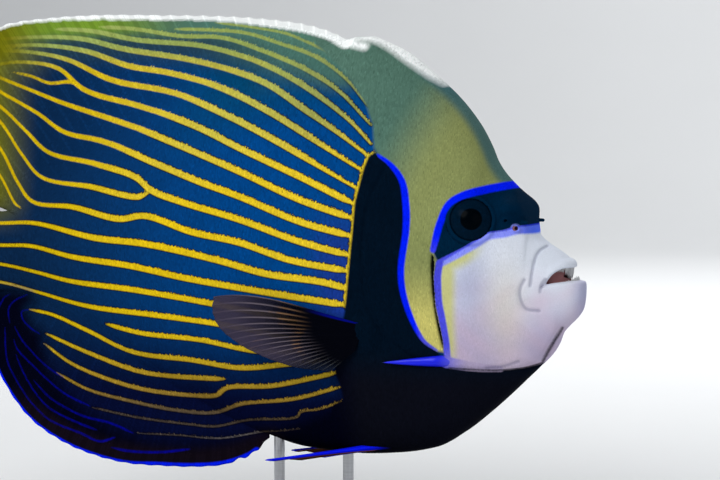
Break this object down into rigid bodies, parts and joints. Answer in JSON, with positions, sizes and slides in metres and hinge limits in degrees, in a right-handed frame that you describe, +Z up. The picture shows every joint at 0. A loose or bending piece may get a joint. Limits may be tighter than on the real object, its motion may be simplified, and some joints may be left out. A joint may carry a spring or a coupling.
{
  "type": "emperor angelfish",
  "caption": "Life-size still model of an adult emperor angelfish, swimming level with fins spread and mouth slightly open, on a flat display base with short rods.",
  "frame": {"origin": "centre of the display base's underside, on the surface that it stands on", "axes": "+X from tail to snout, +Y to the fish's left, +Z up"},
  "size_m": [0.3627, 0.104, 0.2575],
  "materials": {
    "face_skin": "satin fish skin: olive head band, navy mask and bar, pale lilac cheek, fine scales",
    "lip_skin": "smooth pale lilac-white skin, whitish teeth",
    "flank_skin": "satin fish skin: deep blue with golden-yellow stripes, fine scales",
    "dorsal_fin": "scaly fin, striped like the flank, yellow-green towards the rear, pale blue margin",
    "anal_fin": "scaly fin, blackish navy with curved blue lines and a bright blue margin",
    "tail_fin": "golden-yellow membrane on raised rays",
    "breast_fin": "thin grey-mauve membrane on dark and tan rays",
    "belly_fin": "orange-brown rays, bright blue leading edge",
    "cheek_spine": "smooth bright blue spine",
    "eye": "clear wet cornea over a navy-black iris",
    "base_wood": "dark stained wood, satin lacquer",
    "rod_steel": "brushed steel rods"
  },
  "bodies": {
    "root": {"head": "face_skin", "gill_cover_left": "face_skin", "gill_cover_right": "face_skin", "upper_jaw": "lip_skin", "lower_jaw": "lip_skin", "trunk": "flank_skin", "tail_root": "flank_skin", "dorsal_fin": "dorsal_fin", "anal_fin": "anal_fin", "tail_fin": "tail_fin", "breast_fin_left": "breast_fin", "breast_fin_right": "breast_fin", "belly_fin_left": "belly_fin", "belly_fin_right": "belly_fin", "cheek_spine_left": "cheek_spine", "cheek_spine_right": "cheek_spine", "eye_left": "eye", "eye_right": "eye", "stand_base": "base_wood", "stand_rod_front": "rod_steel", "stand_rod_rear": "rod_steel"}
  },
  "joints": []
}
